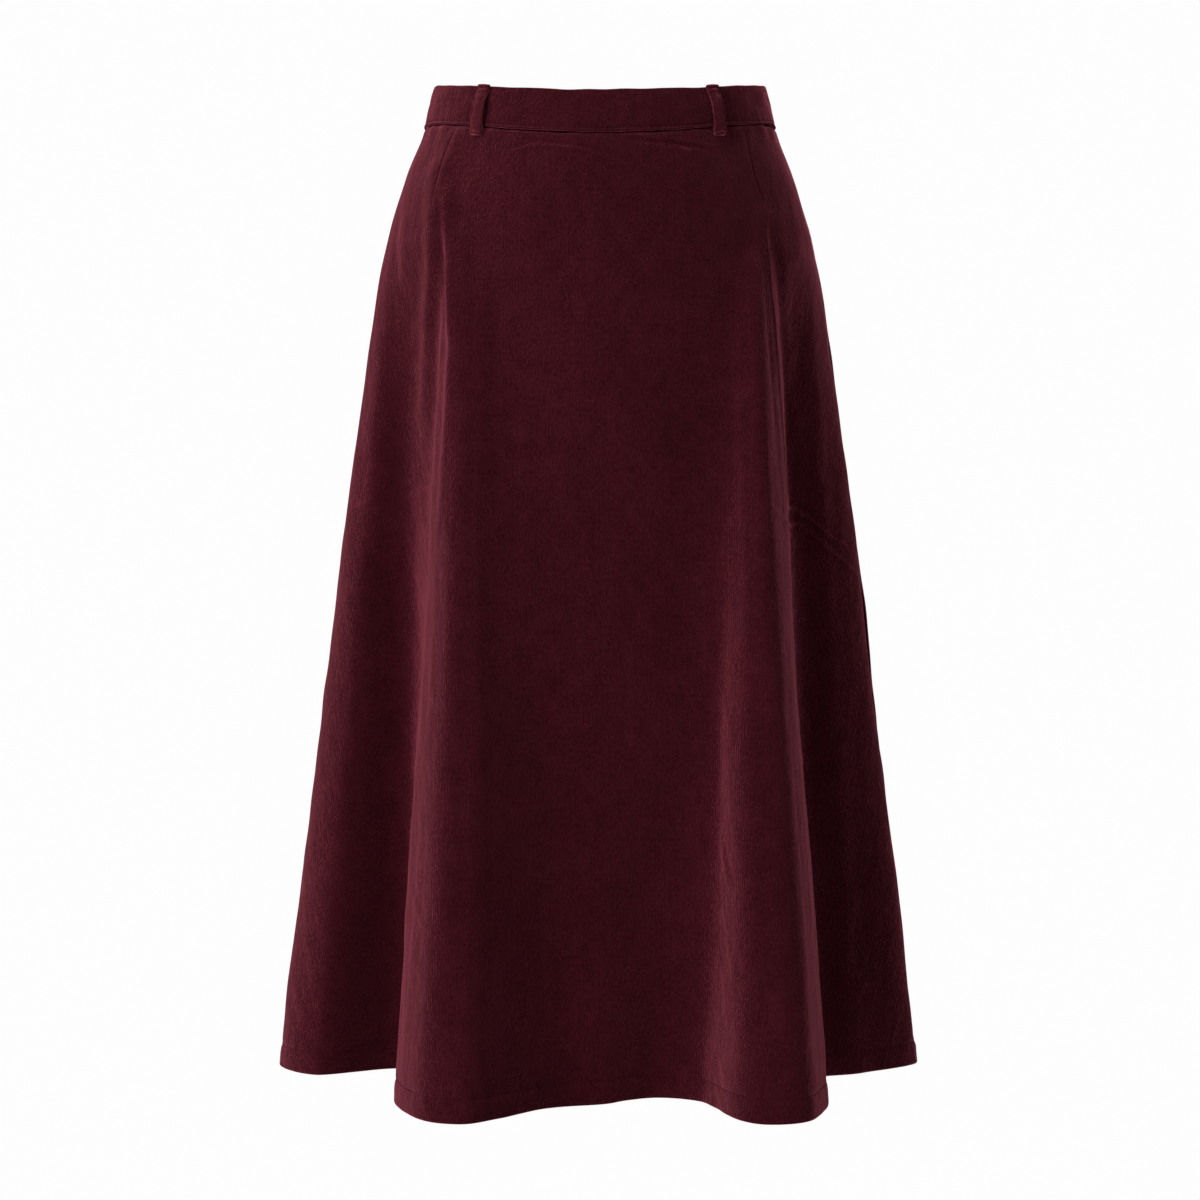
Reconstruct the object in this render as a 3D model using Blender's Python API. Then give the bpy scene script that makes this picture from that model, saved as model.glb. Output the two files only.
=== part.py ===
"""A corduroy A-line skirt, filled out as it is worn, open at waist and hem.

Metres, +Z up, the front faces -Y. The origin is the middle of the waist, half way up the
waistband at the sides. A place on the cloth is a level, its height at the side seams, and a
turn, in degrees round from centre front, positive towards +X, with 180 at centre back.
"""

import math

import bmesh
import bpy
import numpy as np
from mathutils import Matrix

# Driving dimensions
BAND_HEIGHT = 0.033
HEM_LEVEL = -0.762
SEAM_GAP = 0.0003
CLOTH = 0.0015
BAND_WALL = 0.0025
BAND_PROUD = 0.0010
HEM_TURN_UP = 0.019
HEM_WALL = 0.0029
FRONT_DIP = 0.021
BACK_DIP = 0.006
DIP_SPREAD, DIP_SPREAD_CHANGE = 1.7, 0.3

BAND_TOP = BAND_HEIGHT / 2
BAND_SEAM = -BAND_HEIGHT / 2

SIDE, CENTRE_BACK = 90.0, 180.0
SHARP_ANGLE = math.radians(40)
BAND_COLUMNS = 96

# The outline without folds: half an ellipse in front and another behind, which meet at the
# widest line.
# name, level, half width, front depth, back depth
WIDEST_LINE = 0.010
SECTIONS = (
    ("band top", BAND_TOP, 0.1308, 0.1085, 0.0875),
    ("band seam", BAND_SEAM, 0.1388, 0.1140, 0.0945),
    ("upper hip", -0.055, 0.1534, 0.1215, 0.1060),
    ("hip", -0.110, 0.1695, 0.1280, 0.1200),
    ("seat", -0.180, 0.1826, 0.1340, 0.1310),
    ("thigh", -0.280, 0.1969, 0.1440, 0.1420),
    ("knee", -0.520, 0.2273, 0.1740, 0.1700),
    ("hem", HEM_LEVEL, 0.2575, 0.2080, 0.2000),
)

# Where the folds stand, each as the line of a ridge or hollow from its start down to the hem.
# name, turn, x at hem, y at hem, drop of hem, level where it starts, growth
FOLDS = (
    ("left back hollow", -158, -0.072, 0.156, 0.000, -0.17, 0.9),
    ("left back ridge", -136, -0.156, 0.218, 0.002, -0.15, 0.8),
    ("left side hollow", -112, -0.176, 0.088, -0.001, -0.14, 0.7),
    ("left side ridge", -90, -0.2587, 0.010, 0.000, -0.20, 1.0),
    ("left side face", -76, -0.213, -0.036, 0.000, -0.12, 0.8),
    ("left front valley", -60, -0.146, -0.024, -0.001, -0.12, 0.55),
    ("left front edge", -46, -0.1494, -0.170, 0.001, -0.11, 0.4),
    ("left front ridge", -33, -0.1070, -0.232, 0.002, -0.12, 0.8),
    ("left front slope", -17, -0.052, -0.192, 0.000, -0.20, 0.9),
    ("centre front", 0, 0.000, -0.169, -0.001, -0.20, 1.0),
    ("front hollow", 13, 0.046, -0.147, -0.002, -0.20, 1.0),
    ("right front slope", 27, 0.0935, -0.203, 0.000, -0.16, 0.9),
    ("right front ridge", 38, 0.1285, -0.231, 0.002, -0.12, 0.8),
    ("right front edge", 50, 0.1657, -0.184, 0.001, -0.11, 0.4),
    ("right front valley", 62, 0.163, -0.034, -0.001, -0.12, 0.55),
    ("right side face", 77, 0.2068, -0.036, 0.000, -0.12, 0.8),
    ("right side ridge", 90, 0.2565, 0.010, 0.000, -0.20, 1.0),
    ("right side hollow", 111, 0.172, 0.080, -0.001, -0.14, 0.7),
    ("right back ridge", 134, 0.168, 0.208, 0.002, -0.15, 0.8),
    ("right back hollow", 157, 0.084, 0.158, 0.000, -0.18, 0.9),
    ("centre back ridge", 180, 0.006, 0.226, 0.001, -0.24, 1.0),
)


def smooth_through(knots, values, at):
    """Cubic curve through values at knots, each slope taken from the two neighbours."""
    knots, values, at = np.asarray(knots), np.asarray(values), np.asarray(at, float)
    slopes = np.gradient(values, knots, axis=0)
    low = np.clip(np.searchsorted(knots, at) - 1, 0, len(knots) - 2)
    span = knots[low + 1] - knots[low]
    part = (at - knots[low]) / span
    if values.ndim > 1:
        span, part = span[:, None], part[:, None]
    near = (1 + 2 * part) * (1 - part) ** 2 * values[low] + part * (1 - part) ** 2 * span * slopes[low]
    far = part**2 * (3 - 2 * part) * values[low + 1] - part**2 * (1 - part) * span * slopes[low + 1]
    return near + far


def outline(level, turns):
    """x and y of the fold-free outline at one level."""
    levels = [-row[1] for row in SECTIONS]
    width, front, back = (
        smooth_through(levels, [row[i] for row in SECTIONS], -level) for i in (2, 3, 4)
    )
    angle = np.radians(turns)
    depth = np.where(np.cos(angle) > 0, front, back)
    return np.stack([width * np.sin(angle), WIDEST_LINE - depth * np.cos(angle)], axis=-1)


def fold_growth(level, start, growth):
    """0 above a fold's start and 1 at the hem."""
    soft = 0.03
    part = np.clip((start - level) / (start - HEM_LEVEL), 0, 1)
    return ((part + soft) ** growth - soft**growth) / ((1 + soft) ** growth - soft**growth)


FOLD_TURNS = np.array([row[1] for row in FOLDS], float)
FOLD_ENDS = np.array([[row[2], row[3], -row[4]] for row in FOLDS])
FOLD_STARTS = np.array([row[5] for row in FOLDS])
FOLD_GROWTHS = np.array([row[6] for row in FOLDS])
FOLD_SHIFTS = FOLD_ENDS - np.column_stack([outline(HEM_LEVEL, FOLD_TURNS), np.zeros(len(FOLDS))])


def surface(level, turns):
    """Points of the cloth's outer face at one level."""
    turns = (np.asarray(turns, float) + 180) % 360 - 180
    shifts = FOLD_SHIFTS * fold_growth(level, FOLD_STARTS, FOLD_GROWTHS)[:, None]
    wrapped = np.concatenate([FOLD_TURNS - 360, FOLD_TURNS, FOLD_TURNS + 360])
    shift = smooth_through(wrapped, np.tile(shifts, (3, 1)), turns)
    cosine = np.cos(np.radians(turns))
    spread = DIP_SPREAD - DIP_SPREAD_CHANGE * np.clip(level / BAND_TOP, -1, 1)
    dip = np.where(cosine > 0, FRONT_DIP, BACK_DIP) * np.abs(cosine) ** spread
    height = level - dip * np.clip((level - HEM_LEVEL) / (BAND_SEAM - HEM_LEVEL), 0, 1)
    return np.column_stack([outline(level, turns), height]) + shift


def outward(level, turns):
    """Unit normals of the outer face."""
    across = surface(level, turns + 0.2) - surface(level, turns - 0.2)
    down = surface(level - 0.001, turns) - surface(level + 0.001, turns)
    normals = np.cross(down, across)
    return normals / np.linalg.norm(normals, axis=1, keepdims=True)


def ring(level, turns, out=0.0):
    """Points at one level, moved out from the outer face."""
    turns = np.asarray(turns, float)
    return surface(level, turns) + out * outward(level, turns)


def turn_for(distance, level, turn):
    """The change of turn that moves a point this far along its ring."""
    step = 0.2
    ends = surface(level, np.array([turn - step, turn + step]))
    return distance * 2 * step / np.linalg.norm(ends[1] - ends[0])


def even_turns(first, last, count):
    """Turns that share out the cloth evenly between two seams, at waist and hem together."""
    fine = np.linspace(first, last, 40 * count)
    steps = 0
    for level in (BAND_SEAM, HEM_LEVEL):
        steps = steps + np.linalg.norm(np.diff(surface(level, fine), axis=0), axis=1)
    travelled = np.concatenate([[0], np.cumsum(steps)])
    return np.interp(np.linspace(0, travelled[-1], count + 1), travelled, fine)


def plain_gap(level):
    return SEAM_GAP / 2


def flush(level):
    return 0.0


def panel_inside(level):
    """The inner face, deeper where the hem is turned up."""
    return -HEM_WALL if level < HEM_LEVEL + HEM_TURN_UP + 1e-6 else -CLOTH


def band_face(level):
    return BAND_PROUD


def band_inside(level):
    return BAND_PROUD - BAND_WALL


def rows_between(first, last, levels, turns, out, gap):
    """Rings of points between two seams, drawn back from each by half the gap."""
    rows = []
    for level in levels:
        own = np.array(turns)
        own[0] = first + turn_for(gap(level), level, first)
        own[-1] = last - turn_for(gap(level), level, last)
        rows.append(ring(level, own, out(level)))
    return rows


def clear_scene():
    for obj in list(bpy.data.objects):
        bpy.data.objects.remove(obj, do_unlink=True)


def material(name, colour, roughness, metallic=0.0):
    made = bpy.data.materials.new(name)
    made.use_nodes = True
    shader = made.node_tree.nodes["Principled BSDF"]
    shader.inputs["Base Color"].default_value = (*colour, 1)
    shader.inputs["Roughness"].default_value = roughness
    shader.inputs["Metallic"].default_value = metallic
    return made


def add_mesh(name, mesh, finish, collection):
    mesh.materials.append(finish)
    obj = bpy.data.objects.new(name, mesh)
    collection.objects.link(obj)
    return obj


def cloth_wall(name, outer, inner, finish, collection):
    """A closed wall lofted down its rows, between an outer and an inner face."""
    bm = bmesh.new()
    sections = []
    for over, under in zip(outer, inner):
        sections.append([bm.verts.new(point) for point in (*over, *under[::-1])])
    around = len(sections[0])
    columns = around // 2 - 1
    for upper, lower in zip(sections, sections[1:]):
        for i in range(around):
            j = (i + 1) % around
            bm.faces.new((upper[i], lower[i], lower[j], upper[j]))
    for section in (sections[0], sections[-1]):
        for i in range(columns):
            bm.faces.new((section[i], section[i + 1], section[-2 - i], section[-1 - i]))
    bmesh.ops.recalc_face_normals(bm, faces=bm.faces)
    mesh = bpy.data.meshes.new(name)
    bm.to_mesh(mesh)
    bm.free()
    mesh.shade_smooth()
    mesh.set_sharp_from_angle(angle=SHARP_ANGLE)
    return add_mesh(name, mesh, finish, collection)


PANEL_LEVELS = (
    BAND_SEAM - SEAM_GAP, -0.035, -0.060, -0.085, -0.112, -0.145, -0.185, -0.240,
    -0.310, -0.390, -0.480, -0.570, -0.660, HEM_LEVEL + HEM_TURN_UP + 0.004,
    HEM_LEVEL + HEM_TURN_UP, HEM_LEVEL,
)
# name, first seam, last seam, columns
PANELS = (
    ("front_panel", -SIDE, SIDE, 76),
    ("back_right_panel", SIDE, CENTRE_BACK, 36),
    ("back_left_panel", -CENTRE_BACK, -SIDE, 36),
)

# Belt loops: a strip of cloth sewn down at both ends and standing off the band between.
LOOP_WIDTH = 0.0105
LOOP_TURNS = (
    ("belt_loop_front_left", -41.6),
    ("belt_loop_front_right", 40.0),
    ("belt_loop_back_right", 142.0),
    ("belt_loop_back_left", -142.0),
)
# place, level, inner face from the cloth, outer face from the cloth
LOOP_PROFILE = (
    ("top end", BAND_TOP + 0.0004, BAND_PROUD + 0.0004, 0.0046),
    ("top seam", BAND_TOP - 0.0030, BAND_PROUD + 0.0004, 0.0050),
    ("top lap ends", BAND_TOP - 0.0062, BAND_PROUD + 0.0004, 0.0053),
    ("leaves the band", BAND_TOP - 0.0068, 0.0034, 0.0054),
    ("upper bow", 0.0040, 0.0050, 0.0070),
    ("middle", -0.0030, 0.0056, 0.0076),
    ("lower bow", -0.0105, 0.0050, 0.0070),
    ("passes the seam", -0.0170, 0.0034, 0.0055),
    ("bottom lap starts", -0.0176, 0.0004, 0.0053),
    ("bottom seam", -0.0215, 0.0004, 0.0046),
    ("bottom end", -0.0252, 0.0004, 0.0038),
)

# The concealed zip at centre back, closed, with its slider at the top of the band.
ZIP_TOP, ZIP_BOTTOM = BAND_TOP - 0.002, -0.185
TAPE_WIDTH, TAPE, TAPE_CLEAR = 0.012, 0.0008, 0.0004
NECK_GAP, NECK_GAP_BOTTOM, ZIP_CLOSED_LEVEL = 0.0011, 0.0055, 0.0010
TAPE_LEVELS = (
    ZIP_TOP, NECK_GAP_BOTTOM, ZIP_CLOSED_LEVEL, BAND_SEAM, -0.050, -0.090, -0.135, ZIP_BOTTOM,
)
BAND_LEVELS = (BAND_TOP, NECK_GAP_BOTTOM, ZIP_CLOSED_LEVEL, -0.008, BAND_SEAM)
SLIDER_LEVEL, SLOPE_STEP = BAND_TOP - 0.0075, 0.002
SLIDER_HALF_WIDTH, SLIDER_HALF_HEIGHT, SLIDER_DEPTH = 0.0030, 0.0045, 0.0022
NECK_HALF_WIDTH, NECK_HALF_HEIGHT = 0.00075, 0.0018
PLATE_CLEAR, PLATE, PLATE_HALF_HEIGHT = 0.00035, 0.00065, 0.0025
LUG, LUG_HALF_HEIGHT, LUG_OVER_AXIS = 0.0006, 0.0012, 0.0011
PULL_AXIS_OUT = 0.0034
PIN_RADIUS, BORE_RADIUS, HEAD_RADIUS = 0.00045, 0.00065, 0.00115
HEAD_LENGTH, HEAD_SIDE_GAP = 0.0024, 0.0003
PULL_LENGTH, PULL_TIP_RADIUS, PULL_THICKNESS = 0.021, 0.0024, 0.0011
PULL_LEAN = math.radians(4)
JOIN = 0.0002


def zip_gap(level):
    """Half the gap between the zip's two sides, wider where the slider's neck comes through."""
    return np.interp(level, (ZIP_CLOSED_LEVEL, NECK_GAP_BOTTOM), (SEAM_GAP / 2, NECK_GAP))


def belt_loop(name, turn, finish, collection):
    """A strap lofted down its profile, with its ends folded under and sewn down."""
    outer, inner = [], []
    for _, level, under, over in LOOP_PROFILE:
        half = turn_for(LOOP_WIDTH / 2, level, turn)
        edges = [turn - half, turn + half]
        outer.append(ring(level, edges, over))
        inner.append(ring(level, edges, under))
    return cloth_wall(name, outer, inner, finish, collection)


def zip_tape(name, side, finish, collection):
    """A strip of tape behind the cloth, from the zip's middle out to one side."""
    outer, inner = [], []
    for level in TAPE_LEVELS:
        near = turn_for(zip_gap(level), level, CENTRE_BACK)
        far = turn_for(TAPE_WIDTH, level, CENTRE_BACK)
        turns = CENTRE_BACK + side * np.array([near, (near + far) / 2, far])
        outer.append(ring(level, turns, -(CLOTH + TAPE_CLEAR)))
        inner.append(ring(level, turns, -(CLOTH + TAPE_CLEAR + TAPE)))
    return cloth_wall(name, outer, inner, finish, collection)


def primitive_box(low, high):
    low, high = np.array(low), np.array(high)
    bpy.ops.mesh.primitive_cube_add(size=1, location=(low + high) / 2)
    box = bpy.context.object
    box.data.transform(Matrix.Diagonal((*(high - low), 1)))
    return box


def rod_along_x(radius, length, out):
    bpy.ops.mesh.primitive_cylinder_add(
        vertices=16, radius=radius, depth=length, location=(0, out, 0), rotation=(0, math.pi / 2, 0)
    )
    return bpy.context.object


def moved_to(obj, collection):
    for held in list(obj.users_collection):
        held.objects.unlink(obj)
    collection.objects.link(obj)


def combine(body, others, operation, cutters):
    """Joins or cuts the body with each other object, which stays as a hidden helper."""
    for other in others:
        boolean = body.modifiers.new(operation.title(), "BOOLEAN")
        boolean.operation = operation
        boolean.object = other
        other.hide_render = True
        other.display_type = "WIRE"
        moved_to(other, cutters)


def pull_tab():
    """A flat drop shape hanging from the head, as a filled curve."""
    top, bottom = -(BORE_RADIUS + HEAD_RADIUS) / 2, -(PULL_LENGTH - PULL_TIP_RADIUS)
    arc = np.linspace(0, -math.pi, 13)
    points = [(-HEAD_LENGTH / 2, top), (HEAD_LENGTH / 2, top)]
    points += [(PULL_TIP_RADIUS * math.cos(a), bottom + PULL_TIP_RADIUS * math.sin(a)) for a in arc]
    curve = bpy.data.curves.new("pull_tab", "CURVE")
    curve.dimensions = "2D"
    curve.fill_mode = "BOTH"
    curve.extrude = PULL_THICKNESS / 2
    spline = curve.splines.new("POLY")
    spline.points.add(len(points) - 1)
    for point, (x, y) in zip(spline.points, points):
        point.co = (x, y, 0, 1)
    spline.use_cyclic_u = True
    flat = bpy.data.objects.new("pull_tab_outline", curve)
    bpy.context.scene.collection.objects.link(flat)
    bpy.context.view_layer.update()
    mesh = bpy.data.meshes.new_from_object(flat.evaluated_get(bpy.context.evaluated_depsgraph_get()))
    bm = bmesh.new()
    bm.from_mesh(mesh)
    bmesh.ops.remove_doubles(bm, verts=bm.verts, dist=1e-6)
    bm.transform(Matrix.Translation((0, PULL_AXIS_OUT, 0)) @ Matrix.Rotation(math.pi / 2, 4, "X"))
    bm.to_mesh(mesh)
    bm.free()
    bpy.data.objects.remove(flat)
    tab = bpy.data.objects.new("pull_tab", mesh)
    bpy.context.scene.collection.objects.link(tab)
    return tab


def zip_slider_and_pull(finish, collection, cutters):
    """Built upright about the pull's axis, with the cloth's outer face at y = 0."""
    inside = -(CLOTH + TAPE_CLEAR + TAPE + SEAM_GAP)
    plate_back = BAND_PROUD + PLATE_CLEAR
    plate_face = plate_back + PLATE
    body = primitive_box(
        (-SLIDER_HALF_WIDTH, inside - SLIDER_DEPTH, -SLIDER_HALF_HEIGHT),
        (SLIDER_HALF_WIDTH, inside, SLIDER_HALF_HEIGHT),
    )
    neck = primitive_box(
        (-NECK_HALF_WIDTH, inside - JOIN, -NECK_HALF_HEIGHT),
        (NECK_HALF_WIDTH, plate_back + JOIN, NECK_HALF_HEIGHT),
    )
    lug_start = HEAD_LENGTH / 2 + HEAD_SIDE_GAP
    plate = primitive_box(
        (-lug_start - LUG, plate_back, -PLATE_HALF_HEIGHT),
        (lug_start + LUG, plate_face, PLATE_HALF_HEIGHT),
    )
    lugs = []
    for start in (-lug_start - LUG, lug_start):
        low = (start, plate_face - JOIN, -LUG_HALF_HEIGHT)
        high = (start + LUG, PULL_AXIS_OUT + LUG_OVER_AXIS, LUG_HALF_HEIGHT)
        lugs.append(primitive_box(low, high))
    pin = rod_along_x(PIN_RADIUS, 2 * lug_start + LUG, PULL_AXIS_OUT)
    combine(body, [neck, plate, *lugs, pin], "UNION", cutters)
    head = rod_along_x(HEAD_RADIUS, HEAD_LENGTH, PULL_AXIS_OUT)
    bore = rod_along_x(BORE_RADIUS, 2 * HEAD_LENGTH, PULL_AXIS_OUT)
    combine(head, [pull_tab()], "UNION", cutters)
    combine(head, [bore], "DIFFERENCE", cutters)
    for obj, name in ((body, "zip_slider"), (head, "zip_pull")):
        obj.name = name
        moved_to(obj, collection)
        obj.data.materials.append(finish)
    return body, head


def place_zip(slider, pull, cutters):
    """Stands both on an empty that lies on the cloth at centre back, sloped as the cloth is."""
    seat, above, below = (
        ring(SLIDER_LEVEL + step, [CENTRE_BACK])[0] for step in (0, SLOPE_STEP, -SLOPE_STEP)
    )
    slope = math.atan2(below[1] - above[1], above[2] - below[2])
    stand = bpy.data.objects.new("zip_stand", None)
    slider.users_collection[0].objects.link(stand)
    bpy.context.view_layer.update()
    to_axis = Matrix.Translation((0, PULL_AXIS_OUT, 0))
    lean = to_axis @ Matrix.Rotation(-PULL_LEAN, 4, "X") @ to_axis.inverted()
    pull_parts = [pull] + [boolean.object for boolean in pull.modifiers]
    for obj in (slider, pull, *cutters.objects):
        placed = obj.matrix_world.copy()
        obj.parent = stand
        obj.matrix_local = lean @ placed if obj in pull_parts else placed
    stand.matrix_world = Matrix.Translation(seat) @ Matrix.Rotation(slope, 4, "X")


def build():
    clear_scene()
    skirt = bpy.data.collections.new("corduroy_a_line_skirt")
    cutters = bpy.data.collections.new("cutters")
    for made in (skirt, cutters):
        bpy.context.scene.collection.children.link(made)
    corduroy = material("burgundy_corduroy", (0.036, 0.005, 0.009), 0.9)
    tape = material("burgundy_zip_tape", (0.030, 0.006, 0.010), 0.8)
    lacquer = material("burgundy_lacquered_metal", (0.045, 0.007, 0.012), 0.35)
    for name, first, last, columns in PANELS:
        turns = even_turns(first, last, columns)
        outer = rows_between(first, last, PANEL_LEVELS, turns, flush, plain_gap)
        inner = rows_between(first, last, PANEL_LEVELS, turns, panel_inside, plain_gap)
        cloth_wall(name, outer, inner, corduroy, skirt)
    around = (-CENTRE_BACK, CENTRE_BACK)
    turns = even_turns(*around, BAND_COLUMNS)
    outer = rows_between(*around, BAND_LEVELS, turns, band_face, zip_gap)
    inner = rows_between(*around, BAND_LEVELS, turns, band_inside, zip_gap)
    cloth_wall("waistband", outer, inner, corduroy, skirt)
    for name, turn in LOOP_TURNS:
        belt_loop(name, turn, corduroy, skirt)
    for name, side in (("zip_tape_right", -1), ("zip_tape_left", 1)):
        zip_tape(name, side, tape, skirt)
    slider, pull = zip_slider_and_pull(lacquer, skirt, cutters)
    place_zip(slider, pull, cutters)


build()
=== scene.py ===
"""The looks of a burgundy corduroy A-line skirt, filled out as it is worn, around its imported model.

Metres, +Z up, the front faces -Y. A place on the cloth is a level, its height at the side seams,
and a turn, in degrees round from centre front, positive towards +X, with 180 at centre back.
"out" is a distance from the cloth's outer face, and "relief" what a crease adds to it.
"""

import math

import bpy
import numpy as np
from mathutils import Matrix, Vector


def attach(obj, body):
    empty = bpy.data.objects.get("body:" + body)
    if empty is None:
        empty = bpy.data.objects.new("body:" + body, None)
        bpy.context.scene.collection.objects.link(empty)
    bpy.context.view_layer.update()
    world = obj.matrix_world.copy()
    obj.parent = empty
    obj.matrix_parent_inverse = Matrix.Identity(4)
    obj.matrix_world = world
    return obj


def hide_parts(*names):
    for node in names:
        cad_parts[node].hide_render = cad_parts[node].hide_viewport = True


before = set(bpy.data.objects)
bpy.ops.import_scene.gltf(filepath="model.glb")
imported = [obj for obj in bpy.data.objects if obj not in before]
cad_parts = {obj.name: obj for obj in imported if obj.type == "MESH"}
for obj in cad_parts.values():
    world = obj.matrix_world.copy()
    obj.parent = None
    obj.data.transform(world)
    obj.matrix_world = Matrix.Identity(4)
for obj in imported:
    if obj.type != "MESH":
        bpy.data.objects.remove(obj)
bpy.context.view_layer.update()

BODY = "skirt"

# ---- driving dimensions
BAND_HEIGHT = 0.033
HEM_LEVEL = -0.762
CLOTH = 0.0015
HEM_TURN_UP = 0.019
FRONT_DIP = 0.021
BACK_DIP = 0.006
DIP_SPREAD, DIP_SPREAD_CHANGE = 1.7, 0.3

BAND_TOP = BAND_HEIGHT / 2
BAND_SEAM = -BAND_HEIGHT / 2
SIDE, CENTRE_BACK = 90.0, 180.0

# The outline without folds: half an ellipse in front and another behind, which meet at the
# widest line.
# name, level, half width, front depth, back depth
WIDEST_LINE = 0.010
SECTIONS = (
    ("band top", BAND_TOP, 0.1308, 0.1085, 0.0875),
    ("band seam", BAND_SEAM, 0.1388, 0.1140, 0.0945),
    ("upper hip", -0.055, 0.1534, 0.1215, 0.1060),
    ("hip", -0.110, 0.1695, 0.1280, 0.1200),
    ("seat", -0.180, 0.1826, 0.1340, 0.1310),
    ("thigh", -0.280, 0.1969, 0.1440, 0.1420),
    ("knee", -0.520, 0.2273, 0.1740, 0.1700),
    ("hem", HEM_LEVEL, 0.2575, 0.2080, 0.2000),
)

# Where the folds stand, each as the line of a ridge or hollow from its start down to the hem.
# name, turn, x at hem, y at hem, drop of hem, level where it starts, growth
FOLDS = (
    ("left back hollow", -158, -0.072, 0.156, 0.000, -0.17, 0.90),
    ("left back ridge", -136, -0.156, 0.218, 0.002, -0.15, 0.80),
    ("left side hollow", -112, -0.176, 0.088, -0.001, -0.14, 0.70),
    ("left side ridge", -90, -0.2566, 0.0146, 0.000, -0.137, 0.63),
    ("left side face", -76, -0.2228, -0.0378, 0.000, -0.078, 0.67),
    ("left front valley", -60, -0.1460, -0.0300, -0.001, -0.110, 0.72),
    ("left hip ridge", -53, -0.1462, -0.1100, 0.000, -0.108, 0.31),
    ("left front edge", -46, -0.1527, -0.1521, 0.001, -0.070, 0.43),
    ("left fold lip", -40.5, -0.1322, -0.2089, 0.001, -0.092, 0.48),
    ("left front ridge", -33, -0.0997, -0.2262, 0.002, -0.115, 0.69),
    ("left ridge right", -25, -0.0725, -0.2110, 0.001, -0.165, 0.92),
    ("left front slope", -17, -0.0463, -0.1836, 0.000, -0.202, 0.98),
    ("centre front", 0, 0.0076, -0.1631, -0.001, -0.196, 0.86),
    ("hollow left", 6.5, 0.0207, -0.1557, -0.002, -0.200, 1.06),
    ("front hollow", 13, 0.0430, -0.1455, -0.002, -0.197, 1.34),
    ("right flank foot", 20, 0.0698, -0.1519, -0.001, -0.192, 1.11),
    ("right front slope", 27, 0.0826, -0.1722, 0.000, -0.176, 1.49),
    ("right flank top", 32.5, 0.0997, -0.2166, 0.001, -0.147, 1.12),
    ("right front ridge", 38, 0.1204, -0.2277, 0.002, -0.128, 0.75),
    ("right fold lip", 44.5, 0.1518, -0.2171, 0.001, -0.111, 0.48),
    ("right front edge", 50, 0.1667, -0.1685, 0.001, -0.079, 0.51),
    ("right front valley", 62, 0.1631, -0.0707, -0.001, -0.121, 0.47),
    ("right side face", 77, 0.2067, -0.0286, 0.000, -0.100, 0.77),
    ("right side ridge", 90, 0.2547, 0.0188, 0.000, -0.153, 0.92),
    ("right side hollow", 111, 0.172, 0.080, -0.001, -0.14, 0.70),
    ("right back ridge", 134, 0.168, 0.208, 0.002, -0.15, 0.80),
    ("right back hollow", 157, 0.084, 0.158, 0.000, -0.18, 0.90),
    ("centre back ridge", 180, 0.006, 0.226, 0.001, -0.24, 1.00),
)


def smooth_through(knots, values, at):
    """Cubic curve through values at knots, each slope taken from the two neighbours."""
    knots, values, at = np.asarray(knots), np.asarray(values), np.asarray(at, float)
    slopes = np.gradient(values, knots, axis=0)
    low = np.clip(np.searchsorted(knots, at) - 1, 0, len(knots) - 2)
    span = knots[low + 1] - knots[low]
    part = (at - knots[low]) / span
    if values.ndim > 1:
        span, part = span[:, None], part[:, None]
    near = (1 + 2 * part) * (1 - part) ** 2 * values[low] + part * (1 - part) ** 2 * span * slopes[low]
    far = part**2 * (3 - 2 * part) * values[low + 1] - part**2 * (1 - part) * span * slopes[low + 1]
    return near + far


def outline(level, turns):
    """x and y of the fold-free outline at one level."""
    levels = [-row[1] for row in SECTIONS]
    width, front, back = (
        smooth_through(levels, [row[i] for row in SECTIONS], -level) for i in (2, 3, 4)
    )
    angle = np.radians(turns)
    depth = np.where(np.cos(angle) > 0, front, back)
    return np.stack([width * np.sin(angle), WIDEST_LINE - depth * np.cos(angle)], axis=-1)


def fold_growth(level, start, growth):
    """0 above a fold's start and 1 at the hem."""
    soft = 0.03
    part = np.clip((start - level) / (start - HEM_LEVEL), 0, 1)
    return ((part + soft) ** growth - soft**growth) / ((1 + soft) ** growth - soft**growth)


FOLD_TURNS = np.array([row[1] for row in FOLDS], float)
FOLD_ENDS = np.array([[row[2], row[3], -row[4]] for row in FOLDS])
FOLD_STARTS = np.array([row[5] for row in FOLDS])
FOLD_GROWTHS = np.array([row[6] for row in FOLDS])
FOLD_SHIFTS = FOLD_ENDS - np.column_stack([outline(HEM_LEVEL, FOLD_TURNS), np.zeros(len(FOLDS))])


def surface(level, turns):
    """Points of the cloth's outer face at one level."""
    turns = (np.asarray(turns, float) + 180) % 360 - 180
    shifts = FOLD_SHIFTS * fold_growth(level, FOLD_STARTS, FOLD_GROWTHS)[:, None]
    wrapped = np.concatenate([FOLD_TURNS - 360, FOLD_TURNS, FOLD_TURNS + 360])
    shift = smooth_through(wrapped, np.tile(shifts, (3, 1)), turns)
    cosine = np.cos(np.radians(turns))
    spread = DIP_SPREAD - DIP_SPREAD_CHANGE * np.clip(level / BAND_TOP, -1, 1)
    dip = np.where(cosine > 0, FRONT_DIP, BACK_DIP) * np.abs(cosine) ** spread
    height = level - dip * np.clip((level - HEM_LEVEL) / (BAND_SEAM - HEM_LEVEL), 0, 1)
    return np.column_stack([outline(level, turns), height]) + shift


def outward(level, turns):
    """Unit normals of the outer face."""
    across_cloth = surface(level, turns + 0.2) - surface(level, turns - 0.2)
    down = surface(level - 0.001, turns) - surface(level + 0.001, turns)
    normals = np.cross(down, across_cloth)
    return normals / np.linalg.norm(normals, axis=1, keepdims=True)


def turn_for(distance, level, turn):
    """The change of turn that moves a point this far along its ring."""
    step = 0.2
    ends = surface(level, np.array([turn - step, turn + step]))
    return distance * 2 * step / np.linalg.norm(ends[1] - ends[0])


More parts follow.
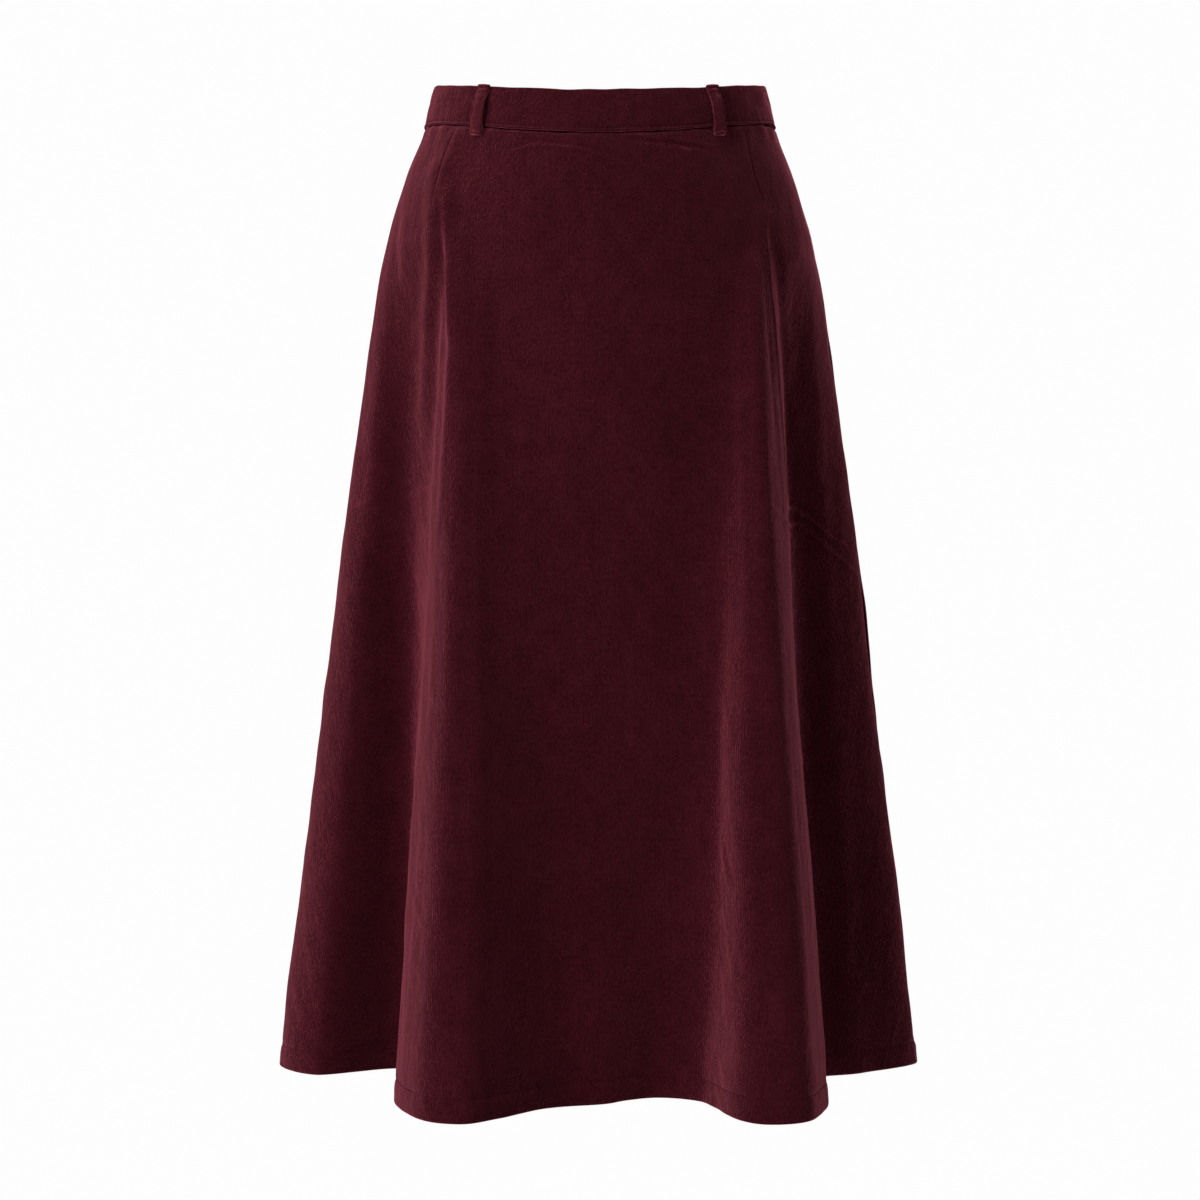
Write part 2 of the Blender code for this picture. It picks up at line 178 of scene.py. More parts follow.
# ---- the flat cut
# A panel is cut as a part of a ring, with the ribs straight down its middle.
CUT_RADIUS, SLANT = 0.49, 1.0
MAP_LEVELS = np.linspace(BAND_TOP, HEM_LEVEL, 80)
MAP_TURNS = np.linspace(-CENTRE_BACK, CENTRE_BACK, 1441)


def arcs_from_centre_front():
    rows = []
    for level in MAP_LEVELS:
        steps = np.linalg.norm(np.diff(surface(level, MAP_TURNS), axis=0), axis=1)
        arc = np.concatenate([[0], np.cumsum(steps)])
        rows.append(arc - np.interp(0, MAP_TURNS, arc))
    return np.array(rows)


ARCS = arcs_from_centre_front()


def along_ring(level, turns):
    """Distance along the cloth from centre front."""
    place = (BAND_TOP - level) / (BAND_TOP - HEM_LEVEL) * (len(MAP_LEVELS) - 1)
    low = int(np.clip(place, 0, len(MAP_LEVELS) - 2))
    part = place - low
    return np.interp(turns, MAP_TURNS, ARCS[low] * (1 - part) + ARCS[low + 1] * part)


def flat_place(level, turns, centre):
    """Where cloth lies on its flat cut: across the ribs from the panel's middle, and up them."""
    radius = CUT_RADIUS + (BAND_SEAM - level) * SLANT
    angle = (along_ring(level, turns) - along_ring(level, centre)) / radius
    return np.column_stack([radius * np.sin(angle), CUT_RADIUS - radius * np.cos(angle)])


# ---- creases
# Lines on the cloth, each as turns and depths. A depth is a level counted downwards, in mm.
LEFT_DART = ((-52.6, -53, -52, -51.4, -51), (14, 36, 60, 76, 84))
RIGHT_DART = ((53.6, 51.7, 50.4, 51.2, 52.1), (14, 36, 57, 72, 82))
BACK_RIGHT_DART = ((151.5, 151.6, 151.2, 150.4, 150.0), (14, 45, 75, 104, 116))
BACK_LEFT_DART = ((-151.5, -151.4, -151.0, -150.2, -149.8), (14, 45, 75, 104, 114))
# the front folds below the darts
LEFT_FOLD = ((-46.5, -43.5, -42.4, -42.8, -44.3, -44.8, -44.4), (112, 147, 194, 294, 431, 566, 740))
RIGHT_FOLD = ((50.6, 50.3, 50.8, 51.2, 49.6, 49.3, 48.6), (108, 156, 249, 349, 410, 536, 740))
# width and height in mm, lean
DART_SEAM, DART_INTAKE, DART_TIP = (0.9, -0.75, 0), (4, 0.55, 0), (6, 0.9, 0)

# name, width and height in mm, lean in widths towards the path's left, turns, depths
FRONT_CREASES = (
    ("left dart seam", *DART_SEAM, *LEFT_DART),
    ("left dart intake", *DART_INTAKE, (-49.6, -50.2, -50.4, -50.9), (14, 36, 60, 80)),
    ("left dart tip", *DART_TIP, (-50.8, -49.8, -49), (78, 88, 98)),
    ("left dart second line", 1.2, 0.5, 1.2, (-51.6, -49.9, -48.6), (71, 82, 94)),
    ("right dart seam", *DART_SEAM, *RIGHT_DART),
    ("right dart intake", *DART_INTAKE, (50.8, 49.2, 48.6, 50.6), (14, 36, 57, 78)),
    ("right dart tip", *DART_TIP, (51.8, 52.8, 52.8), (78, 90, 101)),
    ("left hip swell", 12.9, 2.8, 0, (-55.6, -52.3, -50, -48.9, -48.4), (22, 45, 69, 92, 118)),
    ("left hip ridge", 10, 4.8, 0,
     (-58.9, -55, -50.4, -51.2, -54.1, -55.5, -56.6, -57.1), (45, 69, 101, 125, 155, 195, 242, 271)),
    ("left hip hollow", 10, -1.7, 0,
     (-81.8, -76.8, -73.4, -71.7, -70.6, -71.3, -73.1), (71, 95, 123, 155, 194, 233, 280)),
    ("left fold crest, upper", 7, 2.8, 0,
     (-48.7, -46, -43.7, -42, -41.5, -41.9, -42.2, -42.8), (61, 84, 115, 147, 194, 248, 294, 340)),
    ("left fold crest, start", 5.5, 3.2, 0,
     (-47.6, -46.2, -44.6, -43.2, -42.3, -41.9), (66, 84, 104, 125, 155, 185)),
    ("left fold valley", 6, -0.94, 0, (-49.1, -48.6, -49.4, -50.6), (128, 160, 220, 270)),
    ("left fold crest, lower", 5.2, 0.75, 0,
     (-43.1, -42.8, -43, -43.3, -43.8), (330, 431, 560, 654, 745)),
    ("left side ridge, upper", 5.9, 0.69, 0,
     (-88, -87.2, -86.3, -86.3, -86.1), (60, 110, 170, 240, 330)),
    ("right fold crest", 1.8, 1.0, 0,
     (51.6, 51.4, 51.6, 51.9, 52.6, 53, 52.8, 51.4), (76, 124, 156, 199, 253, 303, 349, 400)),
    ("right fold shade", 9, -3.4, 0,
     (53.6, 54.8, 56.6, 59, 62, 63.4, 63.4), (90, 124, 156, 199, 253, 303, 345)),
    ("right fold foot", 3.5, -0.8, 0, (48.3, 48, 48.1, 48.6, 49, 48.8), (110, 156, 199, 253, 303, 349)),
    ("right fold lip hollow", 4, -0.6, 0, (47, 46.6, 46.5, 46.6, 46.4), (395, 470, 560, 640, 745)),
    ("right fold crest, lower", 4.0, 0.5, 0,
     (49, 48.8, 48.8, 48.7, 48.7, 48.6), (386, 460, 536, 610, 682, 748)),
    ("arc under band, left", 1.35, 1.1, 1.2,
     (-31, -24.8, -18.5, -12.2, -6.3, 0, 9.5), (39, 32, 29, 29, 31, 36, 48)),
    ("arc under band, right", 1.4, -1.15, 1.2, (1.5, 12.3, 26, 38), (19, 24, 29, 37)),
    ("pinch under band", 1.4, -1.2, 0, (25.2, 27, 28.8), (29, 31, 32)),
    ("level line under band", 1.26, -0.41, 0, (-8.5, -4.3, 2), (49, 49, 49)),
    ("pull to left dart", 2.25, 0.47, 0.9, (-36, -28.5, -22), (62, 71, 78)),
    ("pull to left dart, lower", 2.7, 0.41, 0.9, (-40, -32, -25.1), (93, 104, 118)),
    ("pull to right dart", 2.34, 0.47, 0.9, (40, 33, 27), (70, 78, 90)),
    ("thigh crease", 2.16, 0.54, 1, (-25.7, -21.5, -17), (171, 161, 149)),
    ("right side crease, upper", 1.6, 2.0, 1.3,
     (51, 54.5, 63.8, 70.5, 75.4, 84.8), (306, 312, 319, 328, 338, 352)),
    ("right side crease, lower", 1.6, 1.8, 1.3,
     (44.2, 51.9, 60.9, 67, 78.8, 88.1), (316, 328, 331, 333, 356, 374)),
    ("left side crease, upper", 1.7, 1.6, 1.3, (-85.2, -74.6, -67.1), (322, 313, 304)),
    ("left side crease, lower", 1.7, 1.5, 1.3, (-72.1, -62.4, -56.5, -43.3), (322, 308, 301, 298)),
    ("low crease, left side", 1.5, 0.8, 1.2, (-82.9, -70.9, -63.5), (619, 621, 627)),
    ("low crease, middle", 1.6, 0.9, 1.2, (-25.7, -15.2, -2.3, 10.3, 25.6), (648, 643, 640, 640, 637)),
    ("low crease, right side", 1.5, 0.8, 1.2, (68.8, 76.1, 84.6), (629, 628, 629)),
    ("pucker on right flank", 2.6, 0.9, 1.1, (27.4, 29.2, 30.9), (557, 581, 602)),
    ("pucker on right flank, low", 2.4, 0.7, 1.1, (29.3, 30.8, 31.9), (635, 647, 662)),
    ("pucker on left ridge", 2.6, 0.8, 1.1, (-44.3, -42.5, -40.3), (603, 616, 630)),
    ("flank foot, right", 13.4, -0.98, 0,
     (34.5, 32.8, 29.8, 27, 25, 24.8), (140, 252, 369, 488, 606, 740)),
    ("flank hollow, left", 17.9, -0.6, 0,
     (-28.5, -27.1, -26.2, -24.6, -23.1, -22.1), (200, 337, 443, 532, 605, 720)),
    ("flank light, right", 13.2, 1.6, 0,
     (43.6, 43.1, 42.6, 41.7, 40, 38.3, 37.1, 36, 35, 33.2),
     (120, 194, 252, 309, 369, 429, 488, 547, 606, 740)),
)
BACK_RIGHT_CREASES = (
    ("dart seam", *DART_SEAM, *BACK_RIGHT_DART),
    ("dart intake", *DART_INTAKE, (154.2, 153.6, 152.6, 151.0), (14, 45, 75, 106)),
    ("dart tip", *DART_TIP, (150.2, 149.6, 149.0), (108, 120, 130)),
    ("pull under band", 1.8, 0.5, 1.2, (172, 164, 157, 150), (31, 28, 30, 36)),
    ("pull over the hip", 2.4, 0.5, 1.0, (104, 116, 130), (64, 72, 90)),
    ("hip ridge", 7.0, 1.6, 0, (128, 129, 131, 133), (96, 130, 170, 230)),
    ("seat crease", 2.4, 0.7, 1.2, (172, 160, 148, 138), (196, 190, 196, 208)),
    ("seat crease, lower", 2.0, 0.6, 1.2, (168, 157, 148), (214, 211, 216)),
    ("knee crease", 2.0, 0.7, 1.2, (100, 112, 126), (352, 340, 334)),
    ("low crease", 1.8, 0.5, 1.2, (112, 128, 146, 160), (622, 628, 634, 632)),
    ("pucker on ridge", 2.6, 0.8, 1.1, (137, 136, 136), (540, 566, 590)),
)
BACK_LEFT_CREASES = (
    ("dart seam", *DART_SEAM, *BACK_LEFT_DART),
    ("dart intake", *DART_INTAKE, (-154.2, -153.4, -152.4, -150.8), (14, 45, 75, 104)),
    ("dart tip", *DART_TIP, (-150.0, -149.2, -148.6), (106, 118, 128)),
    ("pull under band", 1.8, 0.5, 1.2, (-147, -155, -163, -171), (35, 29, 27, 32)),
    ("hip ridge", 6.5, 1.8, 0, (-124, -126, -129, -132), (90, 124, 164, 214)),
    ("hip hollow", 8.0, -1.8, 0, (-104, -106, -108, -110), (96, 130, 170, 210)),
    ("seat crease", 2.2, 0.6, 1.2, (-140, -152, -164), (178, 170, 174)),
    ("knee crease", 2.0, 0.8, 1.2, (-96, -108, -121), (330, 344, 366)),
    ("knee crease, lower", 1.8, 0.6, 1.2, (-99, -110, -118), (352, 364, 378)),
    ("low crease", 1.8, 0.5, 1.2, (-166, -150, -132, -118), (640, 636, 626, 624)),
    ("pucker on ridge", 2.4, 0.7, 1.1, (-134, -135, -134), (486, 506, 528)),
)
PATH_STEPS = 20
CREASE_REACH = 3.5
# the fainter opposite side of a leaning crease: its share, and how far beside it in widths
OPPOSITE, OPPOSITE_AT = 0.6, 1.6
TAPER = 0.6

# the cloth's unevenness: height, its stretch along the ribs, distance between bumps, seed
UNEVEN = ((0.00045, 0.45, 0.085, 5), (0.00016, 0.6, 0.030, 6))
UNEVEN_START, UNEVEN_LEAST = 0.04, 0.15
SEAM_ROLL, SEAM_ROLL_WIDTH = 0.0011, 0.0013
BAND_GROOVE, BAND_GROOVE_WIDTH = 0.0015, 0.0026
BAND_PUCKER, BAND_PUCKER_FADE = 0.00035, 0.012
ZIP_CLEAR = 8
HEM_STITCH = 0.0172
HEM_DENT, HEM_DENT_WIDTH = 0.0006, 0.0016
HEM_PUCKER, HEM_PUCKER_FADE = 0.00022, 0.008
HEM_SWELL, HEM_SWELL_AT, HEM_SWELL_WIDTH = 0.0003, 0.009, 0.006
GUIDE_COLUMNS = np.linspace(-0.0035, 0.0035, 11)
NEAREST_COLUMN = 0.0009


def bell(distance, width):
    """1 at no distance, fading out over this width."""
    return np.exp(-((distance / width) ** 2))


def ripple(x, y, length, seed, waves=12):
    """A soft uneven field of about one unit, with bumps about this far apart."""
    draw = np.random.default_rng(seed)
    angles = draw.uniform(0, math.pi, waves)
    lengths = length * draw.uniform(0.7, 1.5, waves)
    phases = draw.uniform(0, 2 * math.pi, waves)
    total = 0
    for angle, own, phase in zip(angles, lengths, phases):
        total = total + np.sin(2 * math.pi * (x * math.cos(angle) + y * math.sin(angle)) / own + phase)
    return total * math.sqrt(2 / waves)


class Panel:
    """One piece of the cut, with its creases laid out on the flat."""

    def __init__(self, name, first, last, centre, columns, creases, guides):
        """guides are lines that the columns of points follow."""
        self.name, self.first, self.last, self.centre = name, first, last, centre
        self.guides = guides
        self.paths = [self.laid_flat(*crease[1:]) for crease in creases]
        self.turns = self.spread(columns)

    def laid_flat(self, width, height, lean, turns, depths):
        knots = np.arange(len(turns))
        at = np.linspace(0, len(turns) - 1, PATH_STEPS)
        turns = smooth_through(knots, turns, at)
        levels = smooth_through(knots, -np.array(depths) / 1000, at)
        path = np.concatenate([
            flat_place(level, np.array([turn]), self.centre) for level, turn in zip(levels, turns)
        ])
        return width / 1000, height / 1000, lean, path

    def spread(self, columns):
        """Turns that share out the cloth evenly, with more at the seams and darts."""
        fine = np.linspace(self.first, self.last, 40 * columns)
        steps = 0
        for level in (BAND_SEAM, HEM_LEVEL):
            steps = steps + np.linalg.norm(np.diff(surface(level, fine), axis=0), axis=1)
        travelled = np.concatenate([[0], np.cumsum(steps)])
        turns = np.interp(np.linspace(0, travelled[-1], columns + 1), travelled, fine)
        extra = []
        for guide in (self.first, self.last, *(self.guide_turns(BAND_SEAM))):
            for distance in GUIDE_COLUMNS:
                extra.append(guide + turn_for(distance, BAND_SEAM, guide))
        extra = [turn for turn in extra if self.first <= turn <= self.last]
        near = turn_for(NEAREST_COLUMN, BAND_SEAM, self.centre)
        kept = [turn for turn in turns[1:-1] if min(abs(turn - other) for other in extra) > near]
        return np.unique(np.round([*kept, *extra, self.first, self.last], 6))

    def guide_turns(self, level):
        return [np.interp(-level, np.array(depths) / 1000, turns) for turns, depths in self.guides]

    def turns_at(self, level, gap):
        """This row's turns: the columns beside a dart follow its seam."""
        fixed = [self.first, *self.guide_turns(BAND_SEAM), self.last]
        now = [
            self.first + turn_for(gap, level, self.first),
            *self.guide_turns(level),
            self.last - turn_for(gap, level, self.last),
        ]
        return np.interp(self.turns, fixed, now)

    def relief(self, level, turns):
        """How far creases, seams and the hem move the outer face of one row out."""
        place = flat_place(level, turns, self.centre)
        x, y = place.T
        total = sum(size * ripple(x, drawn * y, length, seed) for size, drawn, length, seed in UNEVEN)
        total = total * np.clip((BAND_SEAM - level) / UNEVEN_START, UNEVEN_LEAST, 1)
        for width, height, lean, path in self.paths:
            reach = CREASE_REACH * width * (1 + lean)
            if path[:, 1].min() - reach < y.max() and path[:, 1].max() + reach > y.min():
                total = total + crease(place, width, height, lean, path)
        edge = np.minimum(
            along_ring(level, turns) - along_ring(level, self.first),
            along_ring(level, self.last) - along_ring(level, turns),
        )
        total = total - SEAM_ROLL * np.exp(-np.clip(edge, 0, 1) / SEAM_ROLL_WIDTH)
        below_band = BAND_SEAM - level
        off_zip = np.clip((CENTRE_BACK - ZIP_CLEAR - np.abs(turns)) / ZIP_CLEAR, 0, 1)
        total = total - BAND_GROOVE * off_zip * bell(below_band, BAND_GROOVE_WIDTH)
        total = total + BAND_PUCKER * ripple(x, 0 * y, 0.016, 7) * bell(below_band, BAND_PUCKER_FADE)
        above_hem = level - HEM_LEVEL
        stitch = above_hem - HEM_STITCH
        total = total - HEM_DENT * bell(stitch, HEM_DENT_WIDTH)
        total = total + HEM_PUCKER * ripple(x, 0.5 * y, 0.011, 8) * bell(stitch, HEM_PUCKER_FADE)
        return total + HEM_SWELL * bell(above_hem - HEM_SWELL_AT, HEM_SWELL_WIDTH)

    def points(self, level, turns, out):
        """Points on the creased cloth."""
        lift = self.relief(level, turns) + out
        return surface(level, turns) + lift[:, None] * outward(level, turns)


def crease(place, width, height, lean, path):
    """A soft ridge or trough along a path, beside a fainter opposite one, tapering at both ends."""
    starts, ends = path[:-1], path[1:]
    steps = ends - starts
    lengths = np.linalg.norm(steps, axis=1)
    travelled = np.concatenate([[0], np.cumsum(lengths)])
    best = np.full(len(place), 1e9)
    side = np.zeros(len(place))
    along = np.zeros(len(place))
    for start, step, length, before in zip(starts, steps, lengths, travelled):
        offset = place - start
        part = np.clip(offset @ step / length**2, 0, 1)
        apart = offset - part[:, None] * step
        distance = np.hypot(*apart.T)
        nearer = distance < best
        best = np.where(nearer, distance, best)
        side = np.where(nearer, np.sign(offset @ np.array([-step[1], step[0]])), side)
        along = np.where(nearer, (before + part * length) / travelled[-1], along)
    taper = np.sin(math.pi * np.clip(along, 0, 1)) ** TAPER
    ridge = bell(best, width)
    if lean:
        ridge = ridge - OPPOSITE * bell(side * best - OPPOSITE_AT * width, lean * width)
    return height * taper * ridge


FRONT_GUIDES = [
    [upper + lower for upper, lower in zip(*lines)]
    for lines in ((LEFT_DART, LEFT_FOLD), (RIGHT_DART, RIGHT_FOLD))
]
FRONT_COLUMNS, BACK_COLUMNS = 222, 106
PANELS = (
    Panel("front_panel", -SIDE, SIDE, 0, FRONT_COLUMNS, FRONT_CREASES, FRONT_GUIDES),
    Panel(
        "back_right_panel", SIDE, CENTRE_BACK, CENTRE_BACK,
        BACK_COLUMNS, BACK_RIGHT_CREASES, [BACK_RIGHT_DART],
    ),
    Panel(
        "back_left_panel", -CENTRE_BACK, -SIDE, -CENTRE_BACK,
        BACK_COLUMNS, BACK_LEFT_CREASES, [BACK_LEFT_DART],
    ),
)


# ---- meshes
def add_mesh(name, points, faces, finishes, face_finish, grain, smooth_under=55):
    """A mesh that rides on the body. grain is each point's place on the flat cut."""
    mesh = bpy.data.meshes.new(name)
    mesh.from_pydata(points.tolist(), [], faces)
    mesh.shade_smooth()
    mesh.set_sharp_from_angle(angle=math.radians(smooth_under))
    for finish in finishes:
        mesh.materials.append(finish)
    if face_finish is not None:
        mesh.polygons.foreach_set("material_index", np.asarray(face_finish, np.int32))
    layer = mesh.attributes.new("grain", "FLOAT_VECTOR", "POINT")
    layer.data.foreach_set("vector", grain.astype(np.float32).ravel())
    obj = bpy.data.objects.new(name, mesh)
    bpy.context.scene.collection.objects.link(obj)
    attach(obj, BODY)
    return obj


def grid_faces(rows, columns, first, turned):
    """Faces of a grid of points, numbered along its rows from first."""
    corner = first + np.arange(rows - 1)[:, None] * columns + np.arange(columns - 1)
    faces = np.stack([corner, corner + columns, corner + columns + 1, corner + 1], axis=-1)
    faces = faces.reshape(-1, 4)
    return (faces[:, ::-1] if turned else faces).tolist()


def ladder(left, right, left_places, right_places):
    """Triangles between two chains of points, stepping down whichever is behind."""
    faces = []
    i = j = 0
    while i < len(left) - 1 or j < len(right) - 1:
        if j == len(right) - 1 or (i < len(left) - 1 and left_places[i + 1] >= right_places[j + 1]):
            faces.append((left[i], right[j], left[i + 1]))
            i += 1
        else:
            faces.append((left[i], right[j], right[j + 1]))
            j += 1
    return faces


def rounded(edge, radius, angles):
    """Rows round an edge, as level and out. The radius is below zero at a lower edge."""
    return [
        (edge - radius * (1 - math.sin(angle)), -abs(radius) * (1 - math.cos(angle)))
        for angle in np.radians(angles)
    ]


def wall(name, outer, inner, outer_levels, inner_levels, finishes, outer_finish, inner_finish, grain):
    """A closed wall of cloth between an outer and an inner grid of points.

    outer_finish and inner_finish give each strip between two rows its place in finishes.
    """
    columns = len(outer[0])
    start = len(outer) * columns
    faces = grid_faces(len(outer), columns, 0, False)
    own = np.repeat(outer_finish, columns - 1).tolist()
    for finish, row in zip(inner_finish, range(len(inner) - 1)):
        faces += grid_faces(2, columns, start + row * columns, True)
        own += [finish] * (columns - 1)
    edges = len(faces)
    last_outer, last_inner = start - columns, start + (len(inner) - 1) * columns
    for i in range(columns - 1):
        faces.append((start + i, i, i + 1, start + i + 1))
        faces.append((last_outer + i, last_inner + i, last_inner + i + 1, last_outer + i + 1))
    for column, turned in ((0, False), (columns - 1, True)):
        over = [row * columns + column for row in range(len(outer))]
        under = [start + row * columns + column for row in range(len(inner))]
        strip = ladder(over, under, outer_levels, inner_levels)
        faces += [face[::-1] for face in strip] if turned else strip
    own += [0] * (len(faces) - edges)
    points = np.concatenate([*outer, *inner])
    return add_mesh(name, points, faces, finishes, own, grain)


# ---- panels
# lower end and spacing of each band of rows
ROW_BANDS = (
    (-0.050, 0.0015),
    (-0.130, 0.0026),
    (-0.290, 0.0040),
    (-0.385, 0.0023),
    (-0.595, 0.0044),
    (-0.665, 0.0023),
    (-0.738, 0.0044),
    (HEM_LEVEL + 0.0020, 0.0014),
)
# how far below the band seam the panel's rows start; the cloth above this is given dark pile with hardly
# any sheen, as painted shade under the band's lip
PAINTED_SHADE_DEPTH = 0.0011
HEM_WALL = 0.0029
HEM_ROUND = HEM_WALL / 2
SEWN_IN = 0.003
SCENE_GAP = 0.00005


def panel_levels():
    levels = [BAND_SEAM - PAINTED_SHADE_DEPTH]
    for lower, spacing in ROW_BANDS:
        count = max(1, round((levels[-1] - lower) / spacing))
        levels += np.linspace(levels[-1], lower, count + 1)[1:].tolist()
    return levels


def build_panel(panel, finishes):
    levels = panel_levels()
    outer = [(BAND_SEAM + SEWN_IN, -0.0007), (BAND_SEAM + SEWN_IN / 2, -0.0006), (BAND_SEAM, -0.0005)]
    outer += [(level, 0.0) for level in levels]
    outer += rounded(HEM_LEVEL, -HEM_ROUND, (15, 40, 65, 90))
    turn_up = HEM_LEVEL + HEM_TURN_UP
    inner = [(BAND_SEAM + SEWN_IN, -0.0012), (BAND_SEAM, -0.0013)]
    inner += [(level, -CLOTH) for level in levels[1::3] if level > turn_up + 0.001]
    inner += [(turn_up + 0.0008, -CLOTH), (turn_up, -0.0023), (turn_up - 0.0008, -HEM_WALL)]
    inner += [
        (level, -HEM_WALL) for level in levels[1::3] if HEM_LEVEL + 0.003 < level < turn_up - 0.002
    ]
    inner += rounded(HEM_LEVEL, -HEM_ROUND, np.linspace(180, 112, 4))
    grids, grains = [], []
    for rows in (outer, inner):
        made = []
        for level, out in rows:
            turns = panel.turns_at(level, SCENE_GAP)
            made.append(panel.points(level, turns, out))
            place = flat_place(level, turns, panel.centre)
            grains.append(np.column_stack([place, np.zeros(len(place))]))
        grids.append(made)
    # the strips down to that depth below the band seam take finish 2, dark pile with hardly any sheen, as
    # painted shade under the band's lip
    outer_finish = [2 if level >= BAND_SEAM - PAINTED_SHADE_DEPTH else 0 for level, _ in outer[1:]]
    inner_finish = [1 if level > turn_up + 0.001 else 0 for level, _ in inner[1:]]
    obj = wall(
        panel.name + "_cloth", *grids, [row[0] for row in outer], [row[0] for row in inner],
        finishes, outer_finish, inner_finish, np.concatenate(grains),
    )
    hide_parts(panel.name)
    return obj


# ---- waistband
BAND_PROUD, BAND_WALL = 0.0010, 0.0025
BAND_PUFF, BAND_PUFF_SHAPE = 0.0007, 0.7
BAND_LIP, BAND_LIP_WIDTH = 0.0003, 0.0013
BAND_STITCH = BAND_SEAM + 0.0024
STITCH_DENT, STITCH_DENT_WIDTH = 0.00055, 0.0010
BAND_TOP_ROUND, BAND_LOW_ROUND = 0.0011, 0.0004
SEAM_FADE = 0.0060
ZIP_CLOSED_LEVEL, NECK_GAP_BOTTOM, NECK_GAP = 0.0010, 0.0055, 0.0011
BAND_COLUMNS = 420


def band_gap(level):
    """Half the gap at centre back, wider where the slider's neck comes through."""
    return float(np.interp(level, (ZIP_CLOSED_LEVEL, NECK_GAP_BOTTOM), (0.0001, NECK_GAP)))


def band_turns(level):
    gap = turn_for(band_gap(level), level, CENTRE_BACK)
    return np.linspace(-CENTRE_BACK + gap, CENTRE_BACK - gap, BAND_COLUMNS + 1)


def band_face_out(level, along):
    """How far the band's outer face stands out at one level, along the band."""
    part = np.clip((BAND_TOP - level) / BAND_HEIGHT, 0, 1)
    out = BAND_PROUD + BAND_PUFF * math.sin(math.pi * part) ** BAND_PUFF_SHAPE
    out = out - STITCH_DENT * bell(level - BAND_STITCH, STITCH_DENT_WIDTH)
    out = out + BAND_LIP * bell(level - BAND_SEAM, BAND_LIP_WIDTH)
    lift = 0.00022 * ripple(along, level * 1.5, 0.026, 21) * math.sin(math.pi * part)
    near_seam = bell(level - BAND_SEAM, SEAM_FADE)
    return out + lift + 0.00012 * ripple(along, 0.4 * level + 0 * along, 0.0085, 22) * near_seam


def band_edge_shift(along, part):
    """The band's edges wander a little up and down."""
    lower = 0.00016 * ripple(along, 0 * along, 0.045, 23)
    upper = 0.00022 * ripple(along, 0 * along, 0.030, 24)
    return lower * part + upper * (1 - part)


def build_band(finishes):
    outer = rounded(BAND_TOP, BAND_TOP_ROUND, (90, 60, 35, 12))
    outer += [(level, 0.0) for level in np.linspace(BAND_TOP - 0.0018, BAND_SEAM + 0.0050, 12)]
    steps = (0.0040, 0.0033, 0.0028, 0.0024, 0.0020, 0.0015, 0.0010)
    outer += [(BAND_SEAM + step, 0.0) for step in steps]
    outer += rounded(BAND_SEAM, -BAND_LOW_ROUND, (20, 50, 80))
    outer += [(BAND_SEAM + 0.0001, -0.0012)]
    inner = [(BAND_TOP - 0.0002, 0.0006), (BAND_TOP - 0.0010, 0.0001)]
    inner += [(level, 0.0) for level in np.linspace(BAND_TOP - 0.0018, BAND_SEAM + 0.0030, 9)]
    inner += [(BAND_STITCH, 0.00025), (BAND_SEAM + 0.0012, 0.0)]
    inner += [(BAND_SEAM + 0.0002, 0.0002)]
    made, grains = [], []
    for rows, inside in ((outer, False), (inner, True)):
        points = []
        for level, shift in rows:
            turns = band_turns(level)
            along = along_ring(0.0, turns)
            part = (BAND_TOP - level) / BAND_HEIGHT
            if inside:
                out = BAND_PROUD - BAND_WALL + shift
                out = out + 0.00012 * ripple(along, level + 0 * along, 0.02, 25)
            else:
                out = band_face_out(level, along) + shift
            place = surface(level, turns) + out[:, None] * outward(level, turns)
            place[:, 2] += band_edge_shift(along, part)
            points.append(place)
            grains.append(np.column_stack([along, 0 * along + level, 0 * along + inside]))
        made.append(points)
    # the band's last two outer strips, under its lower lip, take the dark pile with hardly any sheen, as
    # painted shade
    obj = wall(
        "waistband_cloth", *made, [row[0] for row in outer], [row[0] for row in inner],
        finishes, [0] * (len(outer) - 3) + [1] * 2, [0] * (len(inner) - 1), np.concatenate(grains),
    )
    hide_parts("waistband")
    return obj


# ---- belt loops
LOOP_WIDTH = 0.0105
LOOPS = (
    ("belt_loop_front_left", -41.6),
    ("belt_loop_front_right", 40.0),
    ("belt_loop_back_right", 142.0),
    ("belt_loop_back_left", -142.0),
)
# level, inner face and outer face from the cloth
LOOP_PROFILE = (
    (BAND_TOP + 0.0004, 0.0016, 0.0044),
    (BAND_TOP - 0.0014, 0.0012, 0.0051),
    (BAND_TOP - 0.0030, 0.0012, 0.0048),
    (BAND_TOP - 0.0052, 0.0014, 0.0054),
    (BAND_TOP - 0.0072, 0.0030, 0.0056),
    (0.0040, 0.0050, 0.0070),
    (-0.0030, 0.0056, 0.0076),
    (-0.0105, 0.0050, 0.0071),
    (-0.0165, 0.0036, 0.0060),
    (-0.0188, 0.0012, 0.0056),
    (-0.0205, 0.0006, 0.0053),
    (-0.0218, 0.0004, 0.0046),
    (-0.0232, 0.0004, 0.0046),
    (-0.0248, 0.0008, 0.0036),
)
LOOP_ROWS, LOOP_SIDES = 72, 36
LOOP_SQUARENESS = 0.38
LOOP_EDGE_STITCH, LOOP_EDGE_DENT, LOOP_EDGE_WIDTH = 0.0036, 0.00035, 0.0006
LOOP_BAR_DENT, LOOP_BAR_WIDTH = 0.0007, 0.0008
LOOP_CROWN, LOOP_RIPPLE = 0.0007, 0.00016
LOOP_SEAMS = (BAND_TOP - 0.0032, -0.0219)


